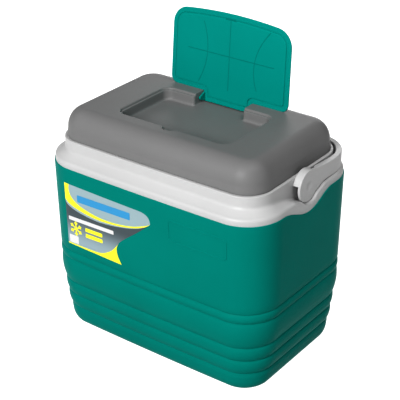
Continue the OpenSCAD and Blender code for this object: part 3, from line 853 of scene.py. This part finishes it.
# Outlines on the front wall as (x, z) in millimetres
FILM = [(-163.5, 283.9), (-0.2, 281.4), (9.7, 278.2), (15.4, 272.2), (17.4, 264.1), (2.4, 251.1),
        (-14.5, 237.0), (-36.1, 220.5), (-49.4, 208.5), (-54.2, 199.4), (-55.1, 191.5), (-52.8, 181.0),
        (-46.3, 168.6), (-103.9, 169.8), (-162.8, 170.8)]
SWOOSH_TOP = [(-153.0, 283.7), (-154.0, 274.5), (-151.0, 264.0), (-140, 253.6), (-119.6, 246.4),
              (-89.7, 241.6), (-55.8, 242.3), (-22.2, 248.0), (2.7, 256.6), (17.4, 264.1)]
SWOOSH_LOW = [(-163.3, 254.5), (-156, 248.6), (-143.1, 243.4), (-117.0, 238.4), (-86.5, 236.6),
              (-47.8, 240.2), (-14.1, 247.6), (6.7, 256.4), (17.4, 264.1)]
SLATE_TOP = [(-163.3, 249.6), (-158, 244.4), (-143.1, 238.4), (-117.0, 234.2), (-86.5, 233.2),
             (-47.8, 238.2), (-14.1, 246.6), (6.7, 256.0), (17.4, 264.1)]
CORNER_TOP = [(-162.8, 172.6), (-144.0, 172.9), (-126.0, 173.1), (-103.7, 173.9), (-88.1, 176.1),
              (-76.0, 181.6), (-63.3, 191.0), (-51, 205.5)]
# Middle of the left end, middle of the right end, height and corner radius of each printed bar
BARS = [((-136, 262.2), (-24, 265), 13, 1.4), ((-158, 220.6), (-60, 223.6), 7, 1.4),
        ((-159, 181.6), (-139, 182.2), 15, 1.2), ((-122, 208.6), (-85, 209.8), 7, 1.4),
        ((-122, 197.8), (-85, 199.0), 7, 1.4)]
# How far each layer of the print stands off the wall, and how deep its edges go into it
FILM_LIFT, FIELD_LIFT, MARK_LIFT, EDGE_SINK = 0.10, 0.18, 0.28, 0.1
FADE_HIGH, FADE_LOW = 232 * MM, 178 * MM
# Steps along an outline, and across and up a field
RING_STEP, GRID_X, GRID_Z = 3.5, 4, 7


def smoothed(points, steps=4):
    """A Catmull-Rom curve through points."""
    curve = []
    for i in range(len(points) - 1):
        a, b = Vector(points[max(i - 1, 0)]), Vector(points[i])
        c, d = Vector(points[i + 1]), Vector(points[min(i + 2, len(points) - 1)])
        for k in range(steps):
            t = k / steps
            p = (b * 2 + (c - a) * t + (a * 2 - b * 5 + c * 4 - d) * t * t
                 + (b * 3 - a - c * 3 + d) * t ** 3) / 2
            curve.append((p.x, p.y))
    return curve + [tuple(points[-1])]


class COOLER_OT_label(bpy.types.Operator):
    """Builds the sticker on the front as layers of plain printed fields, with no lettering"""
    bl_idname = "cooler.label"
    bl_label = "Front Sticker"

    def execute(self, context):
        colours = context.scene.cooler_colours
        self.fade(finish("sticker slate"), colours.slate, colours.steel)
        sweep_top, sweep_low, slate_top, corner = (
            smoothed(line) for line in (SWOOSH_TOP, SWOOSH_LOW, SLATE_TOP, CORNER_TOP))
        edge = smoothed(FILM[4:9], 3) + smoothed(FILM[8:13], 3)[1:]
        film = [FILM[0]] + smoothed(FILM[1:5], 3)[:-1] + edge + FILM[13:]
        self.field("sticker_film", [film], "sticker silver", FILM_LIFT, ["front_label"])
        below = [p for p in edge if p[1] > corner[-1][1]]
        self.field("sticker_lower_field", [slate_top + below + corner[::-1]], "sticker slate", FIELD_LIFT)
        swoosh = [(-163.5, 283.9)] + sweep_top[:-1] + sweep_low[::-1]
        beside = [p for p in edge if p[1] <= corner[-1][1]]
        patch = corner + beside[:-1] + [(-46.3, 168.6), (-103.9, 169.8), (-162.8, 170.8)]
        self.field("sticker_yellow_fields", [swoosh, patch], "sticker yellow", MARK_LIFT)
        blue_bar, wide_bar, small_box, *yellow_bars = (self.bar(*bar) for bar in BARS)
        self.field("sticker_blue_bar", [blue_bar], "sticker blue", MARK_LIFT)
        self.field("sticker_white_bars", [wide_bar, small_box], "sticker white", MARK_LIFT)
        marks = yellow_bars + self.snowflake((-143, 203.6), 13.5)
        self.field("sticker_yellow_marks", marks, "sticker yellow", MARK_LIFT)
        return {"FINISHED"}

    def fade(self, material, above, below):
        """Lets a printed field fade from one colour to another down its height."""
        tree = material.node_tree
        place = add_node(tree, "ShaderNodeTexCoord", {})
        parts = add_node(tree, "ShaderNodeSeparateXYZ", {"Vector": place.outputs["Object"]})
        down = add_node(tree, "ShaderNodeMapRange", {
            "Value": parts.outputs["Z"], "From Min": FADE_HIGH, "From Max": FADE_LOW},
            interpolation_type="SMOOTHSTEP")
        blend = add_node(tree, "ShaderNodeMix", {
            "Factor": down.outputs["Result"], "A": (*above, 1), "B": (*below, 1)}, data_type="RGBA")
        effect = next(node for node in tree.nodes if node.type == "GROUP")
        tree.links.new(blend.outputs["Result"], effect.inputs["Colour"])

    def bar(self, start, end, height, radius):
        """A plain bar with rounded corners."""
        half = height / 2
        corners = [(start[0], start[1] - half, radius), (end[0], end[1] - half, radius),
                   (end[0], end[1] + half, radius), (start[0], start[1] + half, radius)]
        return filleted(corners, 0, 4)

    def snowflake(self, centre, size):
        """Three crossed strokes with short side strokes."""
        middle = Vector(centre)
        strokes = []
        for i in range(6):
            spoke = Matrix.Rotation(math.pi / 3 * i + math.pi / 6, 2) @ Vector((size, 0))
            side = Vector((-spoke.y, spoke.x))
            strokes.append((middle + spoke * 0.06, middle + spoke))
            for way in (-1, 1):
                strokes.append((middle + spoke * 0.55, middle + spoke * 0.82 + side * 0.22 * way))
        outlines = []
        for a, b in strokes:
            along = (b - a).normalized() * 1.2
            across = Vector((-along.y, along.x))
            outlines.append([tuple(a - across), tuple(b - across), tuple(b + across), tuple(a + across)])
        return outlines

    def field(self, name, outlines, look, lift, stands_for=()):
        """Printed fields between outlines given in millimetres, laid on the wall."""
        skin = Skin()
        for number, outline in enumerate(outlines):
            self.lay(skin, outline, lift + 0.003 * number)
        add_piece(name, skin, "cooler_body", look, stands_for)

    def lay(self, skin, outline, lift):
        """One field, filled with small triangles so that it follows the wall."""
        ring = []
        for a, b in zip(outline, outline[1:] + outline[:1]):
            count = max(1, round(math.dist(a, b) / RING_STEP))
            ring += [(a[0] + (b[0] - a[0]) * k / count, a[1] + (b[1] - a[1]) * k / count)
                     for k in range(count)]
        across = range(int(min(x for x, _ in ring)), int(max(x for x, _ in ring)) + 1, GRID_X)
        upward = range(int(min(z for _, z in ring)), int(max(z for _, z in ring)) + 1, GRID_Z)
        grid = [(x, z) for x in across for z in upward
                if inside(x, z, ring) and min(math.dist((x, z), p) for p in ring) > 1.8]
        edges = [(i, (i + 1) % len(ring)) for i in range(len(ring))]
        flat, _, triangles, _, _, _ = delaunay_2d_cdt([Vector(p) for p in ring + grid], edges, [], 1, 1e-5)
        first = len(skin.points)
        skin.points += [front_wall(x * MM, z * MM, lift * MM) for x, z in flat]
        for triangle in triangles:
            x = sum(flat[i][0] for i in triangle) / 3
            z = sum(flat[i][1] for i in triangle) / 3
            if inside(x, z, ring):
                skin.faces.append(tuple(first + i for i in triangle))
        edge = [first + i for i in range(len(ring))]
        foot = skin.row([front_wall(x * MM, z * MM, -EDGE_SINK * MM) for x, z in ring])
        skin.join(edge, foot)


# ---- inner parts and stage

class COOLER_OT_inner(bpy.types.Operator):
    """Gives the liners, plugs and foam their finish"""
    bl_idname = "cooler.inner"
    bl_label = "Inner Parts"

    def execute(self, context):
        for name, node in frame["nodes"].items():
            if name in ("outer_shell", "collar", "handle", "lid_shell", "hatch", "front_label"):
                continue
            node.data.materials.clear()
            node.data.materials.append(finish("poured foam" if name.endswith("foam") else "white plastic"))
        return {"FINISHED"}


FLOOR_HALF = 40.0
FLOOR_Z = -0.2 * MM
# The ground looks white, and lights the piece less than it shows
FLOOR_GLOW = 0.8
FLOOR_SHADES = (0.34, 0.36)
SKY_GLOW = 0.18
# Name, place, size and power of each soft lamp
LAMPS = (("key", (0.25, -2.5, 1.75), 1.2, 64),
         ("side", (1.1, -0.2, 2.2), 0.8, 9),
         ("back", (-1.2, 2.4, 0.8), 1.5, 16))
LAMP_AIM = (0, 0, 0.2)
CAMERA_AIM = (0, 0, 0.207)
CAMERA_DISTANCE = 1.970
CAMERA_TURN, CAMERA_LIFT, CAMERA_TILT = 36.99, 28.58, -0.31
CAMERA_LENS = 105.96
CAMERA_SHIFT = (0.0055, 0.0443)


class COOLER_OT_stage(bpy.types.Operator):
    """Adds the pale floor, the soft lights and the camera"""
    bl_idname = "cooler.stage"
    bl_label = "Stage"

    def execute(self, context):
        self.floor(context)
        self.lights(context)
        self.camera(context)
        context.scene.view_settings.view_transform = "Standard"
        context.scene.view_settings.look = "High Contrast"
        return {"FINISHED"}

    def floor(self, context):
        size = FLOOR_HALF
        corners = [(x, y, FLOOR_Z) for x, y in ((-size, -size), (size, -size), (size, size), (-size, size))]
        mesh = bpy.data.meshes.new("floor")
        mesh.from_pydata(corners, [], [(0, 1, 2, 3)])
        material = bpy.data.materials.new("pale floor")
        material.use_nodes = True
        tree = material.node_tree
        surface = tree.nodes["Principled BSDF"]
        surface.inputs["Roughness"].default_value = 0.9
        surface.inputs["Emission Color"].default_value = (1, 1, 1, 1)
        rays = add_node(tree, "ShaderNodeLightPath", {})
        glow = add_node(tree, "ShaderNodeMapRange", {
            "Value": rays.outputs["Is Diffuse Ray"], "To Min": FLOOR_GLOW, "To Max": 0.0})
        tree.links.new(glow.outputs["Result"], surface.inputs["Emission Strength"])
        paper = add_node(tree, "ShaderNodeTexNoise", {"Scale": 3.0})
        shade = add_node(tree, "ShaderNodeMapRange", {
            "Value": paper.outputs["Fac"], "To Min": FLOOR_SHADES[0], "To Max": FLOOR_SHADES[1]})
        tree.links.new(shade.outputs["Result"], surface.inputs["Base Color"])
        mesh.materials.append(material)
        floor = bpy.data.objects.new("floor", mesh)
        context.scene.collection.objects.link(floor)

    def lights(self, context):
        world = bpy.data.worlds.new("studio")
        context.scene.world = world
        world.use_nodes = True
        tree = world.node_tree
        sky = tree.nodes["Background"]
        sky.inputs["Color"].default_value = (1, 1, 1, 1)
        rays = add_node(tree, "ShaderNodeLightPath", {})
        glow = add_node(tree, "ShaderNodeMapRange", {
            "Value": rays.outputs["Is Camera Ray"], "To Min": SKY_GLOW, "To Max": 1.0})
        tree.links.new(glow.outputs["Result"], sky.inputs["Strength"])
        for name, spot, size, power in LAMPS:
            data = bpy.data.lights.new(name, "AREA")
            data.size = size
            data.energy = power
            lamp = bpy.data.objects.new(name, data)
            lamp.location = spot
            lamp.rotation_euler = (Vector(LAMP_AIM) - Vector(spot)).to_track_quat("-Z", "Y").to_euler()
            context.scene.collection.objects.link(lamp)

    def camera(self, context):
        turn, lift, tilt = (math.radians(angle) for angle in (CAMERA_TURN, CAMERA_LIFT, CAMERA_TILT))
        right = Vector((math.cos(turn), math.sin(turn), 0))
        back = Vector((math.sin(turn) * math.cos(lift), -math.cos(turn) * math.cos(lift), math.sin(lift)))
        up = back.cross(right)
        across = right * math.cos(tilt) + up * math.sin(tilt)
        upward = -right * math.sin(tilt) + up * math.cos(tilt)
        data = bpy.data.cameras.new("camera")
        data.lens = CAMERA_LENS
        data.shift_x, data.shift_y = CAMERA_SHIFT
        camera = bpy.data.objects.new("camera", data)
        spot = Vector(CAMERA_AIM) + back * CAMERA_DISTANCE
        camera.matrix_world = Matrix.Translation(spot) @ Matrix((across, upward, back)).transposed().to_4x4()
        context.scene.collection.objects.link(camera)
        context.scene.camera = camera


# ---- settings, panel and main

def size_property(name, description, default, high):
    return FloatProperty(name=name, description=description, default=default, min=0.0, max=high,
                         unit="LENGTH")


class CoolerSizes(bpy.types.PropertyGroup):
    wall_bow: size_property("Wall Bow", "How far the long sides swell outwards", 3 * MM, 6 * MM)
    badge_height: size_property("Frame Height", "How far the front's frame stands out", 0.8 * MM, 2 * MM)
    bail_thickness: size_property("Bail Thickness", "Thickness of the handle's band", 9.5 * MM, 11 * MM)
    dimple_depth: size_property("Dimple Depth", "Depth of the dimple in each hub", 2.2 * MM, 3 * MM)
    hatch_crown: size_property("Hatch Crown", "How far the hatch's edge bows forwards", 8.4 * MM, 10 * MM)


def colour_property(name, description, default):
    return FloatVectorProperty(name=name, description=description, default=default, subtype="COLOR",
                               size=3, min=0.0, max=1.0)


class CoolerColours(bpy.types.PropertyGroup):
    teal: colour_property("Teal", "Colour of the outer shell", (0.0, 0.222, 0.188))
    hatch: colour_property("Hatch", "Colour of the hatch", (0.0, 0.265, 0.232))
    lid: colour_property("Lid", "Colour of the lid", (0.19, 0.19, 0.19))
    collar: colour_property("Collar", "Colour of the collar, handle and liners", (0.5, 0.5, 0.5))
    foam: colour_property("Foam", "Colour of the poured foam", (0.8, 0.7, 0.42))
    silver: colour_property("Sticker Silver", "Colour of the sticker's upper field", (0.29, 0.39, 0.42))
    slate: colour_property("Sticker Slate", "Colour of the sticker's lower field", (0.035, 0.055, 0.065))
    steel: colour_property("Sticker Steel", "Colour of the lower field's foot", (0.28, 0.37, 0.41))
    yellow: colour_property("Sticker Yellow", "Colour of the sticker's sweep and marks", (0.9, 0.85, 0.02))
    white: colour_property("Sticker White", "Colour of the sticker's white bars", (0.7, 0.7, 0.7))
    blue: colour_property("Sticker Blue", "Colour of the sticker's bar", (0.02, 0.27, 0.52))


STEPS = ("shell", "collar", "handle", "lid", "hatch", "label", "inner", "stage")


class COOLER_PT_panel(bpy.types.Panel):
    """Lists the cooler box's pieces and settings"""
    bl_idname = "COOLER_PT_panel"
    bl_label = "Cooler Box"
    bl_space_type = "VIEW_3D"
    bl_region_type = "UI"
    bl_category = "Cooler"

    def draw(self, context):
        layout = self.layout
        for name in CoolerSizes.__annotations__:
            layout.prop(context.scene.cooler_sizes, name)
        for name in CoolerColours.__annotations__:
            layout.prop(context.scene.cooler_colours, name)
        for step in STEPS:
            layout.operator("cooler." + step)


CLASSES = (CoolerSizes, CoolerColours, COOLER_OT_shell, COOLER_OT_collar, COOLER_OT_handle, COOLER_OT_lid,
           COOLER_OT_hatch, COOLER_OT_label, COOLER_OT_inner, COOLER_OT_stage, COOLER_PT_panel)


def register():
    for cls in CLASSES:
        bpy.utils.register_class(cls)
    bpy.types.Scene.cooler_sizes = PointerProperty(type=CoolerSizes)
    bpy.types.Scene.cooler_colours = PointerProperty(type=CoolerColours)


def unregister():
    del bpy.types.Scene.cooler_colours
    del bpy.types.Scene.cooler_sizes
    for cls in reversed(CLASSES):
        bpy.utils.unregister_class(cls)


def main():
    register()
    for step in STEPS:
        getattr(bpy.ops.cooler, step)()


if __name__ == "__main__":
    main()
